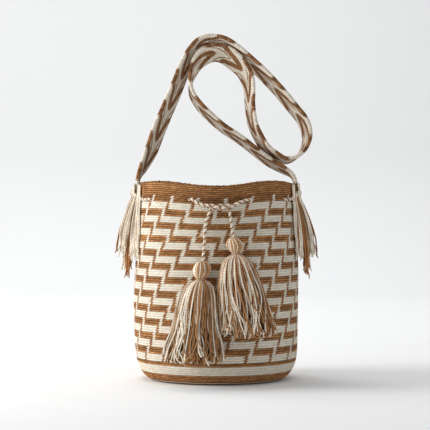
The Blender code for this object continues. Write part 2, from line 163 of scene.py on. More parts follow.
TASSEL_RIGHT = (
    (0.2178, 0.0240, 0.0030, -0.1310, 0.0030), (0.2155, 0.0245, 0.0074, -0.1312, 0.0072),
    (0.2110, 0.0254, 0.0110, -0.1316, 0.0106), (0.2055, 0.0265, 0.0122, -0.1320, 0.0117),
    (0.2000, 0.0273, 0.0108, -0.1325, 0.0104), (0.1962, 0.0279, 0.0070, -0.1330, 0.0068),
    (0.1946, 0.0282, 0.0052, -0.1332, 0.0052), (0.1922, 0.0285, 0.0060, -0.1335, 0.0060),
    (0.1903, 0.0288, 0.0140, -0.1345, 0.0108), (0.1835, 0.0298, 0.0226, -0.1378, 0.0155),
    (0.1700, 0.0316, 0.0285, -0.1425, 0.0190), (0.1480, 0.0348, 0.0338, -0.1450, 0.0205),
    (0.1220, 0.0385, 0.0372, -0.1455, 0.0215), (0.0980, 0.0430, 0.0402, -0.1450, 0.0225),
    (0.0830, 0.0458, 0.0412, -0.1445, 0.0220), (0.0755, 0.0465, 0.0405, -0.1440, 0.0210),
)
NECK_ROW = 6
BALL_STRANDS, BALL_POINTS, BALL_YARN = 44, 17, 0.00105
SKIRT_STRANDS, SKIRT_FRONT, SKIRT_POINTS, SKIRT_YARN = 285, 160, 30, 0.00090
# Painted shade for the skirt's inner strands.
SKIRT_INNER_PAINTED_SHADE = np.array((0.36, 0.25, 0.16))
TIE_TURNS, TIE_POINTS, TIE_RADIUS, TIE_YARN = 3, 100, 0.0063, 0.00085

# ---------------------------------------------------------------- fringes and seams
FRINGE_TOP = 0.2935
FRINGE_POINTS, FRINGE_YARN = 28, 0.00108
SEAM_TOP, SEAM_BOTTOM, SEAM_STITCH = 0.2945, 0.2822, 0.0028
SEAM_FACE = 0.1226  # x of the strap's outer face
SEAM_YARN = 0.0006

# ---------------------------------------------------------------- studio
CAMERA_PLACE = (-0.0023, -2.85, 0.300)
CAMERA_AIM = (-0.0023, 0.0, 0.2476)
FOCAL_LENGTH, SENSOR_WIDTH = 157.6, 36.0
PAPER_FRONT, PAPER_BACK, PAPER_BEND, PAPER_TALL = -6.0, 3.6, 1.4, 6.0


# ================================================================ geometry helpers
def smoothstep(low, high, value):
    """0 below low, 1 above high and an S curve between."""
    t = np.clip((np.asarray(value, float) - low) / (high - low), 0.0, 1.0)
    return t * t * (3.0 - 2.0 * t)


def catmull(points, per_span=10):
    """Points on a smooth curve through the given ones."""
    p = np.asarray(points, float)
    p = np.vstack([2 * p[0] - p[1], p, 2 * p[-1] - p[-2]])
    t = (np.arange(per_span) / per_span)[:, None]
    out = []
    for i in range(1, len(p) - 2):
        a, b, c, d = p[i - 1], p[i], p[i + 1], p[i + 2]
        out.append(0.5 * (2 * b + (c - a) * t + (2 * a - 5 * b + 4 * c - d) * t ** 2
                          + (3 * b - a - 3 * c + d) * t ** 3))
    out.append(p[-2][None])
    return np.vstack(out)


def resample(points, count):
    """count points evenly along a polyline; columns past the third are carried along."""
    p = np.asarray(points, float)
    s = np.concatenate([[0], np.cumsum(np.linalg.norm(np.diff(p[:, :3], axis=0), axis=1))])
    want = np.linspace(0, s[-1], count)
    return np.stack([np.interp(want, s, p[:, k]) for k in range(p.shape[1])], axis=1), s[-1]


def unit(v):
    """Vectors scaled to length 1."""
    return v / np.maximum(np.linalg.norm(v, axis=-1, keepdims=True), 1e-12)


def round_axis(radius, theta, height):
    """Points round the bag's axis, at an angle from the front towards +X."""
    return np.stack([radius * np.sin(theta), -radius * np.cos(theta), height], -1)


def transport(path, start):
    """Frames along a path that don't spin: (tangents, normals, binormals)."""
    t = unit(np.gradient(path, axis=0))
    n = np.empty_like(t)
    v = np.asarray(start, float)
    for i in range(len(path)):
        v = v - t[i] * v.dot(t[i])
        v = v / np.linalg.norm(v)
        n[i] = v
    return t, n, np.cross(t, n)


class Soup:
    """Collects surfaces with a colour per point and a UV per corner, and makes one mesh of them."""

    def __init__(self):
        self.points, self.colours, self.polys, self.uvs, self.count = [], [], [], [], 0

    def surface(self, points, colours, polys, uvs):
        """Adds faces given as arrays of point numbers, counted from this surface's first."""
        self.points.append(points.reshape(-1, 3))
        self.colours.append(colours.reshape(-1, 3))
        for p, u in zip(polys, uvs):
            self.polys.append(p + self.count)
            self.uvs.append(u)
        self.count += points.reshape(-1, 3).shape[0]

    def tubes(self, paths, radii, sides, colours, refs, caps=True):
        """Round strands. paths (M, N, 3), radii (M, N), colours (M, N, 3), refs (M, 3)."""
        m, n = paths.shape[:2]
        t = unit(np.gradient(paths, axis=1))
        refs = np.broadcast_to(np.asarray(refs, float), (m, 3))[:, None, :]
        a = unit(refs - t * (refs * t).sum(-1, keepdims=True))
        b = np.cross(t, a)
        phi = TAU * np.arange(sides) / sides
        ring = np.cos(phi)[:, None] * a[:, :, None, :] + np.sin(phi)[:, None] * b[:, :, None, :]
        verts = paths[:, :, None, :] + radii[:, :, None, None] * ring
        cols = np.broadcast_to(colours[:, :, None, :], verts.shape)
        i, j = np.meshgrid(np.arange(n - 1), np.arange(sides), indexing="ij")
        k = (j + 1) % sides
        quad = np.stack([i * sides + j, i * sides + k, (i + 1) * sides + k, (i + 1) * sides + j], -1)
        quad = quad.reshape(-1, 4)
        base = (np.arange(m) * n * sides)[:, None, None]
        quads = (quad[None] + base).reshape(-1, 4)
        s = np.concatenate([np.zeros((m, 1)),
                            np.cumsum(np.linalg.norm(np.diff(paths, axis=1), axis=2), axis=1)], 1)
        iu = np.stack([j, j + 1, j + 1, j], -1).reshape(-1, 4) / sides
        iv = np.stack([i, i, i + 1, i + 1], -1).reshape(-1, 4)
        uv = np.stack([np.broadcast_to(iu, (m,) + iu.shape), s[:, iv]], -1).reshape(-1, 4, 2)
        polys, uvs = [quads], [uv]
        if caps:
            first = np.arange(sides)[::-1][None] + base[:, :, 0]
            last = (np.arange(sides) + (n - 1) * sides)[None] + base[:, :, 0]
            for cap in (first, last):
                polys.append(cap)
                uvs.append(np.zeros(cap.shape + (2,)))
        self.surface(verts, np.array(cols), polys, uvs)

    def make(self, name, material, body):
        """The mesh object, riding on that body unless it is None."""
        mesh = bpy.data.meshes.new(name)
        points = np.vstack(self.points)
        mesh.vertices.add(len(points))
        mesh.vertices.foreach_set("co", points.ravel())
        loops = np.concatenate([p.ravel() for p in self.polys])
        sizes = np.concatenate([np.full(len(p), p.shape[1]) for p in self.polys])
        mesh.loops.add(len(loops))
        mesh.loops.foreach_set("vertex_index", loops)
        mesh.polygons.add(len(sizes))
        mesh.polygons.foreach_set("loop_start", np.concatenate([[0], np.cumsum(sizes)[:-1]]))
        mesh.polygons.foreach_set("use_smooth", np.ones(len(sizes), bool))
        layer = mesh.uv_layers.new(name="UVMap")
        layer.data.foreach_set("uv", np.concatenate([u.reshape(-1, 2) for u in self.uvs]).ravel())
        colours = np.vstack(self.colours)
        attribute = mesh.attributes.new("yarn", "FLOAT_COLOR", "POINT")
        rgba = np.concatenate([colours, np.ones((len(colours), 1))], 1)
        attribute.data.foreach_set("color", rgba.ravel())
        mesh.materials.append(material)
        mesh.update()
        mesh.validate()
        obj = bpy.data.objects.new(name, mesh)
        bpy.context.scene.collection.objects.link(obj)
        if body:
            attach(obj, body)
        return obj


def grid_polys(rows, cols, wrap):
    """Quads of a grid of points, with each quad's row and column."""
    i, j = np.meshgrid(np.arange(rows - 1), np.arange(cols if wrap else cols - 1), indexing="ij")
    k = (j + 1) % cols
    return np.stack([i * cols + j, i * cols + k, (i + 1) * cols + k, (i + 1) * cols + j],
                    -1).reshape(-1, 4), i, j


# ================================================================ materials
class Paint:
    """A node material on a Principled shader."""

    def __init__(self, name, roughness, sheen):
        self.material = bpy.data.materials.new(name)
        self.material.use_nodes = True
        self.tree = self.material.node_tree
        self.shader = self.tree.nodes["Principled BSDF"]
        self.shader.inputs["Roughness"].default_value = roughness
        self.shader.inputs["Sheen Weight"].default_value = sheen
        self.shader.inputs["Sheen Roughness"].default_value = 0.5
        self.shader.inputs["Specular IOR Level"].default_value = 0.12

    def node(self, kind, inputs=(), **settings):
        """A node of that kind, its inputs linked or set."""
        node = self.tree.nodes.new(kind)
        for key, value in settings.items():
            setattr(node, key, value)
        for key, value in dict(inputs).items():
            self.put(node.inputs[key], value)
        return node

    def put(self, socket, value):
        if isinstance(value, bpy.types.NodeSocket):
            self.tree.links.new(value, socket)
        else:
            socket.default_value = value

    def math(self, operation, a, b=0.0, c=0.0, clamp=False):
        node = self.node("ShaderNodeMath", operation=operation, use_clamp=clamp)
        for socket, value in zip(node.inputs, (a, b, c)):
            self.put(socket, value)
        return node.outputs[0]

    def hump(self, value):
        """0 at each whole number and 1 halfway between."""
        part = self.math("FRACT", value)
        rise = self.math("SUBTRACT", 1.0, part)
        return self.math("MULTIPLY", self.math("MULTIPLY", part, rise), 4.0)

    def mix(self, factor, a, b, blend="MIX"):
        node = self.node("ShaderNodeMix", data_type="RGBA", blend_type=blend)
        for index, value in ((0, factor), (6, a), (7, b)):
            if not isinstance(value, bpy.types.NodeSocket) and index:
                value = (*value, 1.0)
            self.put(node.inputs[index], value)
        return node.outputs[2]

    def split_uv(self):
        """The UV map's u and v."""
        uv = self.node("ShaderNodeUVMap", uv_map="UVMap")
        xyz = self.node("ShaderNodeSeparateXYZ", {0: uv.outputs[0]})
        return xyz.outputs[0], xyz.outputs[1]

    def vector(self, x, y, z=0.0):
        return self.node("ShaderNodeCombineXYZ", {0: x, 1: y, 2: z}).outputs[0]

    def noise(self, vector, scale, detail=2.0):
        node = self.node("ShaderNodeTexNoise", {"Vector": vector}, noise_dimensions="3D")
        node.inputs["Scale"].default_value = scale
        node.inputs["Detail"].default_value = detail
        return node.outputs[0]

    def object_place(self):
        return self.node("ShaderNodeTexCoord").outputs["Object"]

    def white_noise(self, vector):
        """A random value for each whole-numbered place."""
        return self.node("ShaderNodeTexWhiteNoise", {"Vector": vector},
                         noise_dimensions="2D").outputs[0]

    def between(self, value, low, high):
        """1 where the value lies between low and high."""
        return self.math("MULTIPLY", self.math("GREATER_THAN", value, low),
                         self.math("LESS_THAN", value, high))

    def scale_colour(self, colour, factor):
        """The colour made lighter or darker by that factor."""
        grey = self.node("ShaderNodeCombineColor", {0: factor, 1: factor, 2: factor}).outputs[0]
        return self.mix(1.0, colour, grey, "MULTIPLY")

    def finish(self, colour, height, strength, distance):
        """Sets the colour and the bump, and gives the material."""
        self.put(self.shader.inputs["Base Color"], colour)
        bump = self.node("ShaderNodeBump", {"Height": height})
        bump.inputs["Strength"].default_value = strength
        bump.inputs["Distance"].default_value = distance
        self.put(self.shader.inputs["Normal"], bump.outputs[0])
        return self.material


def crochet_material(name):
    """Brown and cream stitches, from the UV map: u counts stitches and v counts rows."""
    p = Paint(name, 0.95, 0.0)
    u, v = p.split_uv()
    fu = p.math("FRACT", u)
    peak = p.math("ABSOLUTE", p.math("SUBTRACT", fu, 0.5))
    # Lines of stitches, with each stitch a shallow V.
    w = p.math("MULTIPLY_ADD", v, 1.0 / LINE, -PATTERN_START / LINE)
    w2 = p.math("SUBTRACT", p.math("MULTIPLY_ADD", peak, 0.5, w), 0.125)
    fv, line = p.math("FRACT", w2), p.math("FLOOR", w2)
    place_cell = p.vector(line, p.math("FLOOR", p.math("MULTIPLY", u, 0.2)))
    jag = p.white_noise(place_cell)
    # The stitches slant, so the pattern's upright edges are stepped.
    u2 = p.math("MULTIPLY_ADD", p.math("SUBTRACT", fv, 0.5), 1.1, u)
    u2 = p.math("MULTIPLY_ADD", p.math("SUBTRACT", jag, 0.5), 0.7, u2)
    row = p.math("MULTIPLY_ADD", line, LINE, LINE_MIDDLE)
    col = p.math("FLOOR", u2)
    band = p.math("FLOOR", p.math("MULTIPLY", p.math("ADD", line, 0.5), 1.0 / BAND_LINES))
    shifted = p.math("ADD", p.math("MULTIPLY_ADD", band, RISER_STEP, u2), RISER_START)
    riser = p.math("LESS_THAN", p.math("MODULO", shifted, RISER_EVERY), RISER_WIDTH)
    odd = p.math("MODULO", p.math("ADD", band, 100.0), 2.0)
    cream = p.math("ABSOLUTE", p.math("SUBTRACT", p.math("SUBTRACT", 1.0, odd), riser))
    cream = p.math("MULTIPLY", cream, p.between(row, *PATTERN_ROWS))
    # The base's rings.
    ring = p.math("MODULO", p.math("SUBTRACT", row, BASE_FIRST_ROW), BASE_RING_ROWS)
    base = p.math("SUBTRACT", 1.0, p.math("MULTIPLY", p.math("GREATER_THAN", row, 119.5),
                                          p.math("LESS_THAN", ring, BASE_BROWN_ROWS)))
    low = p.math("ADD", p.between(row, *LOW_CREAM_ROWS),
                 p.math("MULTIPLY", p.math("GREATER_THAN", row, BASE_CREAM_ROW), base))
    cream = p.math("ADD", cream, low, clamp=True)
    stitch = p.white_noise(p.vector(col, line))
    place = p.object_place()
    cloud = p.noise(place, 55.0, 3.0)
    fibre = p.noise(p.vector(p.math("MULTIPLY", u, 5.0), p.math("MULTIPLY", v, 2.2)), 1.0, 3.0)
    browns = p.mix(p.math("MULTIPLY_ADD", stitch, 0.55, p.math("MULTIPLY", fibre, 0.45)),
                   (0.180, 0.074, 0.025), (0.455, 0.222, 0.088))
    creams = p.mix(stitch, (0.83, 0.74, 0.60), (0.96, 0.885, 0.755))
    colour = p.mix(cream, browns, creams)
    # Two strands in each stitch, and a gap under each line that is darkened with painted shade.
    arch = p.hump(w2)
    strands = p.hump(p.math("MULTIPLY", u2, 2.0))
    height = p.math("MULTIPLY", arch, p.math("MULTIPLY_ADD", strands, 0.35, 0.65))
    height = p.math("MULTIPLY_ADD", fibre, 0.15, height)
    streak = p.node("ShaderNodeTexWhiteNoise", {"W": line}, noise_dimensions="1D").outputs[0]
    patch = p.noise(p.vector(p.math("MULTIPLY", u, 0.16), p.math("MULTIPLY", row, 0.9)), 1.0, 1.0)
    # Painted shade: the colour is darkened in the gaps between lines and strands; cloud, patch and
    # streak also vary the tone at random.
    painted_shade_and_tone = p.math("MAXIMUM", p.math("MULTIPLY_ADD", height, 1.7, -0.08), 0.08)
    painted_shade_and_tone = p.math("MULTIPLY", painted_shade_and_tone, p.math("MULTIPLY_ADD", cloud, 0.5, 0.75))
    painted_shade_and_tone = p.math("MULTIPLY", painted_shade_and_tone, p.math("MULTIPLY_ADD", patch, 1.0, 0.5))
    painted_shade_and_tone = p.math("MULTIPLY", painted_shade_and_tone, p.math("MULTIPLY_ADD", streak, 0.5, 0.78))
    # The cream yarn's gaps get lighter painted shade than the brown's.
    soft = p.math("MULTIPLY_ADD", height, 0.34, 0.72)
    soft = p.math("MULTIPLY", soft, p.math("MULTIPLY_ADD", patch, 0.24, 0.88))
    painted_shade_and_tone = p.node("ShaderNodeMix", {0: cream, 2: painted_shade_and_tone, 3: soft}, data_type="FLOAT").outputs[0]
    return p.finish(p.scale_colour(colour, painted_shade_and_tone), height, 1.0, 0.0011)


def yarn_material(name, plies, pitch, depth, distance):
    """Plied yarn: the point colour with painted shade in the grooves between plies, and loose fibres.
    """
    p = Paint(name, 0.92, 0.04)
    u, v = p.split_uv()
    colour = p.node("ShaderNodeAttribute", attribute_name="yarn").outputs["Color"]
    turn = p.math("MULTIPLY_ADD", u, plies, p.math("MULTIPLY", v, 1.0 / pitch))
    wave = p.hump(turn)
    fibre = p.noise(p.object_place(), 900.0, 3.0)
    blotch = p.noise(p.object_place(), 130.0, 2.0)
    height = p.math("MULTIPLY_ADD", fibre, 0.35, wave)
    # Painted shade in the grooves between plies; blotch and fibre vary the tone at random.
    painted_shade_and_tone = p.math("MULTIPLY_ADD", wave, depth, 1.0 - depth * 0.75)
    painted_shade_and_tone = p.math("MULTIPLY", painted_shade_and_tone, p.math("MULTIPLY_ADD", blotch, 0.5, 0.75))
    painted_shade_and_tone = p.math("MULTIPLY", painted_shade_and_tone, p.math("MULTIPLY_ADD", fibre, 0.4, 0.8))
    return p.finish(p.scale_colour(colour, painted_shade_and_tone), height, 0.7, distance)


def strap_material(name):
    """Finger weaving: u runs across from -1 to 1, and v along in metres."""
    p = Paint(name, 0.92, 0.03)
    u, v = p.split_uv()
    x = p.math("ABSOLUTE", u)
    s = p.math("DIVIDE", v, STRAP_PERIOD)
    # The weave's own slanting threads move the colour edges in small steps.
    slant = p.math("MULTIPLY_ADD", x, 2.1, p.math("MULTIPLY", v, 1.0 / STRAP_THREAD))
    tooth = p.math("SUBTRACT", p.math("FRACT", slant), 0.5)
    s = p.math("MULTIPLY_ADD", tooth, 0.075, s)
    inner = p.math("LESS_THAN", x, STRAP_BORDER)
    # A thick and a thin slanting spindle run from the middle to each edge.
    reach = p.math("MULTIPLY", x, 1.0 / STRAP_BORDER, clamp=True)
    arms = p.math("FRACT", p.math("MULTIPLY_ADD", reach, -0.62, p.math("ADD", s, 0.726)))
    full = p.hump(p.math("MULTIPLY_ADD", reach, 0.84, 0.10))
    thick = p.math("LESS_THAN", p.math("ABSOLUTE", p.math("SUBTRACT", arms, 0.5)),
                   p.math("MULTIPLY_ADD", full, 0.235, 0.035))
    thin = p.math("LESS_THAN", p.math("ABSOLUTE", p.math("SUBTRACT", arms, 0.90)),
                  p.math("MULTIPLY", full, 0.055))
    line = p.math("MAXIMUM", thick, thin)
    # Blocks of brown along the border.
    edge = p.math("MULTIPLY_ADD", p.math("SUBTRACT", x, 0.88), -0.6, s)
    edge = p.math("LESS_THAN", p.math("FRACT", p.math("ADD", edge, 0.665)), 0.53)
    brown = p.math("ADD", p.math("MULTIPLY", line, inner),
                   p.math("MULTIPLY", edge, p.math("SUBTRACT", 1.0, inner)), clamp=True)
    lane = p.math("MULTIPLY", u, STRAP_LANES)
    thread = p.white_noise(p.vector(p.math("FLOOR", slant), p.math("FLOOR", lane)))
    fibre = p.noise(p.object_place(), 700.0, 3.0)
    browns = p.mix(thread, (0.16, 0.074, 0.030), (0.37, 0.185, 0.082))
    creams = p.mix(thread, (0.74, 0.66, 0.54), (0.90, 0.82, 0.70))
    colour = p.mix(brown, creams, browns)
    ribs = p.hump(slant)
    lanes = p.hump(lane)
    height = p.math("MULTIPLY", p.math("MULTIPLY_ADD", ribs, 0.7, 0.3),
                    p.math("MULTIPLY_ADD", lanes, 0.5, 0.5))
    height = p.math("MULTIPLY_ADD", fibre, 0.2, height)
    # Painted shade in the grooves between the slanting threads and between the lanes.
    painted_shade_and_tone = p.math("MULTIPLY_ADD", height, 0.55, 0.56)
    return p.finish(p.scale_colour(colour, painted_shade_and_tone), height, 0.75, 0.0007)


def paper_material(name):
    """Pale paper with painted shade: a little darker higher up."""
    p = Paint(name, 0.95, 0.0)
    grain = p.noise(p.object_place(), 3.0, 2.0)
    height = p.node("ShaderNodeSeparateXYZ", {0: p.object_place()}).outputs[2]
    # Painted shade: the paper's colour darkens with height, down to a floor of 0.775.
    paper_grain_and_painted_shade = p.math("MULTIPLY_ADD", grain, 0.02, p.math("MULTIPLY_ADD", height, -0.30, 0.88))
    paper_grain_and_painted_shade = p.math("MAXIMUM", paper_grain_and_painted_shade, 0.775)
    return p.finish(p.scale_colour((0.995, 0.998, 1.0), paper_grain_and_painted_shade), grain, 0.02, 0.0005)


# ================================================================ the crocheted body
def wall_at(rows):
    """The outer wall's radius and height at those rows."""
    p = np.array(PROFILE)
    return np.interp(rows, p[:, 0], p[:, 1]), np.interp(rows, p[:, 0], p[:, 2])


def sag(theta, z):
    """How far the mouth's wave moves a point that lies at height z."""
    wave = -SAG_TWICE * np.cos(2 * theta) - SAG_FOUR_TIMES * np.cos(4 * theta)
    wave = wave + 0.0005 * np.sin(3 * theta + 0.7) + 0.0004 * np.sin(5 * theta + 2.0)
    return smoothstep(SAG_FROM_HEIGHT, 0.298, z) * wave


def unevenness(theta, z):
    """Small soft dents of a hand-made wall that stands by itself."""
    return (0.0009 * np.sin(2 * theta + 9 * z + 0.5) + 0.0006 * np.sin(3 * theta - 21 * z + 1.9)
            + 0.0005 * np.sin(5 * theta + 33 * z))


def dimples(theta, z):
    """How deep the wall is drawn in round each eyelet."""
    deep = np.zeros(np.broadcast(theta, z).shape)
    for angle in EYELET_ANGLES:
        away = (theta - math.radians(angle) + math.pi) % TAU - math.pi
        deep = deep + np.exp(-((away * EYELET_RADIUS / DIMPLE_WIDTH) ** 2)
                             - ((z - EYELET_HEIGHT) / DIMPLE_HEIGHT) ** 2)
    return deep


def shell(rows, offset, relief, columns):
    """A grid of the wall: rows (top to bottom) at that distance inside the outer surface."""
    cols = np.arange(columns + 1) * (STITCHES / columns)
    lean = np.minimum(rows, ROWS_WALL) * LEAN
    u = cols[None, :] + np.zeros((len(rows), 1))
    theta = np.radians(FIRST_ANGLE) + (u - lean[:, None]) * TAU / STITCHES
    radius, z = wall_at(rows)
    slope_r, slope_z = np.gradient(radius), np.gradient(z)
    length = np.hypot(slope_r, slope_z)
    nr, nz = -slope_z / length, slope_r / length
    r = (radius + nr * (relief - offset))[:, None] + np.zeros_like(u)
    zz = (z + nz * (relief - offset))[:, None] + np.zeros_like(u)
    soft = smoothstep(0.0, 0.06, zz)
    r = r + soft * unevenness(theta, zz)
    r = r - (DIMPLE_OUTSIDE if offset == 0 else DIMPLE_INSIDE) * dimples(theta, zz)
    return round_axis(r, theta, zz + sag(theta, zz)), u


def body_piece(name, points, u, rows, material):
    """A crocheted sheet, with UVs of stitches and rows."""
    n, m = u.shape
    polys, _, _ = grid_polys(n, m, False)
    polys = polys[:, ::-1]
    uv = np.stack([u.reshape(-1)[polys], np.repeat(rows, m)[polys]], -1)
    soup = Soup()
    soup.surface(points, np.ones((n * m, 3)), [polys], [uv])
    return soup.make(name, material, "bag")


def make_wall(crochet):
    """The outer wall, a groove ring and a ridge ring for each line, and the mouth's edge."""
    rows = np.arange(0, ROWS_WALL * 3 // 2 + 1) * RING_STEP
    ridge = np.where(np.arange(len(rows)) % 2 == 1, 0.00055, -0.00045)
    ridge[:1] = 0.0
    points, u = shell(rows, 0.0, ridge, STITCHES)
    # The rolled edge of the mouth, worked in chain stitches.
    turn = np.linspace(0, math.pi, 7)[:-1][::-1]
    edge, eu = [], []
    top = points[0]
    theta = np.arctan2(top[:, 0], -top[:, 1])
    outward = np.stack([np.sin(theta), -np.cos(theta), np.zeros_like(theta)], -1)
    lumps = np.random.default_rng(5).normal(0, 0.00035, STITCHES + 1)
    lumps[-1] = lumps[0]
    chain = 0.0006 * (np.arange(STITCHES + 1) % 2) + lumps
    for a in turn[:-1]:
        lift = math.sin(a) * 0.0012
        back = (1 - math.cos(a)) * WALL / 2
        edge.append(top - outward * back
                    + np.array((0, 0, 1.0)) * (lift + chain * math.sin(a))[:, None])
        eu.append(u[0])
    points = np.concatenate([np.array(edge), points])
    u = np.concatenate([np.array(eu), u])
    rows_all = np.concatenate([-np.arange(len(edge), 0, -1) * 0.45, rows])
    wall = body_piece("crochet_wall", points, u, rows_all, crochet)
    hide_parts("bag_body")


def make_base(crochet):
    """The round base, from the wall's last row in to its middle."""
    centre = BASE_END_ROW + 0.7
    base_rows = np.arange(ROWS_WALL, centre, RING_STEP)
    n = len(base_rows)
    u = np.arange(STITCHES // 2 + 1)[None, :] * 2.0 + np.zeros((n, 1))
    theta = np.radians(FIRST_ANGLE) + (u - ROWS_WALL * LEAN) * TAU / STITCHES
    radius, z = wall_at(base_rows)
    inner = base_rows > FLAT_ROW + 0.1
    shrink = (centre - base_rows) / (centre - FLAT_ROW)
    radius = np.maximum(np.where(inner, FLAT_RADIUS * shrink, radius), 0.0012)
    z = np.where(inner, FLAT_HEIGHT, z)
    wave = np.where(np.arange(n) % 2 == 0, 1.0, 0.0) * np.where(inner, 0.0003, 0.00042)
    zz = (z - wave * inner + 0.0003)[:, None] + np.zeros_like(u)
    rr = (radius + wave * ~inner)[:, None] + np.zeros_like(u)
    body_piece("crochet_base", round_axis(rr, theta, zz), u, base_rows, crochet)


def make_inside(crochet):
    """The inside of the wall and the floor of the bag."""
    rows = np.arange(0.0, 120.1, RING_STEP)
    ridge = np.where(np.arange(len(rows)) % 2 == 1, 0.0004, -0.0003)
    points, u = shell(rows, WALL, -ridge, INSIDE_COLUMNS)
    # One more ring tucks the top under the rolled edge.
    points = np.concatenate([points[:1] + np.array((0.0, 0.0, 0.0006)), points])
    u = np.concatenate([u[:1], u])
    rows = np.concatenate([[-0.9], rows])
    # Rings of the floor, from the wall in to the middle.
    floor, floor_rows = [], []
    last = points[-1]
    for k, share in enumerate(np.linspace(0.96, 0.012, 22)):
        ring = last * np.array((share, share, 1.0))
        step = max(0.0, 1 - k / 2.0) * 0.5
        ring[:, 2] = FLOOR_INSIDE + (last[:, 2] - FLOOR_INSIDE) * step
        floor.append(ring)
        floor_rows.append(120.1 + (k + 1) * 1.75)
    points = np.concatenate([points, np.array(floor)])
    u = np.concatenate([u, np.repeat(u[:1], len(floor), 0)])
    rows = np.concatenate([rows, floor_rows])
    body_piece("crochet_inside", points[:, ::-1], u[:, ::-1], rows, crochet)


# ================================================================ the strap
def make_strap():
    """One woven band swept along its route."""
    route, length = resample(catmull(STRAP_ROUTE, 14), 560)
    path = route[:, :3]
    t = unit(np.gradient(path, axis=0))
    front = np.array((0.0, -1.0, 0.0))
    inward = unit(np.cross(t, front))
    turn = np.radians(route[:, 3])[:, None]
    across = np.array((0.0, 1.0, 0.0)) * np.cos(turn) + inward * np.sin(turn)
    across = unit(across - t * (across * t).sum(-1, keepdims=True))
    through = np.cross(t, across)
    s = np.linspace(0, length, len(path))
    # Cross-section: two faces, a little thinner in the middle, and round edges.
    side = np.array([-0.97, -0.86, -0.74, -0.5, -0.25, 0, 0.25, 0.5, 0.74, 0.86, 0.97])
    thick = STRAP_MIDDLE + (STRAP_EDGE - STRAP_MIDDLE) * smoothstep(0.55, 0.9, np.abs(side))
    thick[[0, -1]] = STRAP_EDGE * 0.72
    xs = np.concatenate([side, [1.04], side[::-1], [-1.04]])
    ts = np.concatenate([thick, [0.0], -thick[::-1], [0.0]])
    wide = STRAP_HALF * (1 + 0.022 * np.sin(TAU * s / STRAP_PERIOD + 0.8) + 0.012 * np.sin(s * 71))
    fat = 1 + 0.05 * np.sin(TAU * s / STRAP_THREAD)
    points = (path[:, None] + across[:, None] * (xs[None, :, None] * wide[:, None, None])
              + through[:, None] * (ts[None, :, None] * fat[:, None, None]))
    polys, _, _ = grid_polys(len(path), len(xs), True)
    us = np.clip(xs, -1, 1)
    uv = np.stack([us[polys % len(xs)], s[polys // len(xs)]], -1)
    polys, uv = polys[:, ::-1], uv[:, ::-1]
    soup = Soup()
    ends = [np.arange(len(xs))[None], (np.arange(len(xs))[::-1] + (len(path) - 1) * len(xs))[None]]
    soup.surface(points, np.ones((points.shape[0] * points.shape[1], 3)), [polys] + ends,
                 [uv] + [np.zeros(e.shape + (2,)) for e in ends])
    strap = soup.make("woven_strap", strap_material("finger_weaving"), "bag")
    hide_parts("strap")


# ================================================================ cords
def rope(soup, path, radius, colours, start, phase=0.0):
    """Plies laid round each other, one for each colour."""
    step, sides = 0.0011, 7
    run = np.linalg.norm(np.diff(path, axis=0), axis=1).sum()
    path, length = resample(path, max(8, int(round(run / step))))
    _, n, b = transport(path, start)
    s = np.linspace(0, length, len(path))
    for k, colour in enumerate(colours):
        a = TAU * (s / CORD_LAY + k / len(colours)) + phase
        one = path + radius * 0.50 * (np.cos(a)[:, None] * n + np.sin(a)[:, None] * b)
        # Each ply needs its own spin-free frame.
        _, n2, b2 = transport(one, start)
        phi = TAU * np.arange(sides) / sides
        ring = np.cos(phi)[:, None] * n2[:, None] + np.sin(phi)[:, None] * b2[:, None]
        verts = one[:, None] + radius * 0.56 * ring
        polys, i, j = grid_polys(len(one), sides, True)
        ss = np.concatenate([[0], np.cumsum(np.linalg.norm(np.diff(one, axis=0), axis=1))])
        uv = np.stack([np.stack([j, j + 1, j + 1, j], -1).reshape(-1, 4) / sides,
                       ss[np.stack([i, i, i + 1, i + 1], -1).reshape(-1, 4)]], -1)
        caps = [np.arange(sides)[::-1][None], (np.arange(sides) + (len(one) - 1) * sides)[None]]
        soup.surface(verts, np.array(np.broadcast_to(colour, verts.shape)), [polys] + caps,
                     [uv] + [np.zeros(c.shape + (2,)) for c in caps])
    return path, length


def on_circle(radius, degrees, height):
    a = math.radians(degrees)
    return (radius * math.sin(a), -radius * math.cos(a), height)


def knot_strand(phase):
    """One of the two strands that turn once round each other in the half knot."""
    t = np.linspace(0, 1, 10)
    a = TAU * t + phase
    return [(KNOT_LEFT + (KNOT_RIGHT - KNOT_LEFT) * x, KNOT_Y - KNOT_R * math.cos(y),
             KNOT_Z + KNOT_R * math.sin(y)) for x, y in zip(t, a)]


def drawstring_path():
    """From the knot round the bag, in and out of the eyelets, and back to the knot."""
    ring = []
    first, last = EYELET_ANGLES[0] - 4.0, EYELET_ANGLES[-1] + 4.0
    for deg in np.arange(first, last + 0.01, 1.75):
        side = 1.0
        for k, eyelet in enumerate(EYELET_ANGLES):
            side -= 2 * float(smoothstep(eyelet - 3.2, eyelet + 3.2, deg)) * (1 if k % 2 == 0 else -1)
        base = 0.1166 - WALL / 2
        radius = base + side * (WALL / 2 + CORD_RADIUS * 0.95)
        sagging = -0.0012 * abs(side) * math.sin((deg - first) * 0.35)
        ring.append(on_circle(radius, deg, EYELET_HEIGHT + sagging * 0.5))
    to_right = [END_LEFT[0]] + knot_strand(-math.pi / 2)
    to_right += [(0.0245, -0.1212, 0.2640), (0.0335, -0.1180, 0.2680)]
    from_left = [(-0.0290, -0.1190, 0.2682), (-0.0160, -0.1218, 0.2642)]
    from_left += knot_strand(math.pi / 2) + [END_RIGHT[0]]
    return catmull(to_right + ring + from_left, 6)


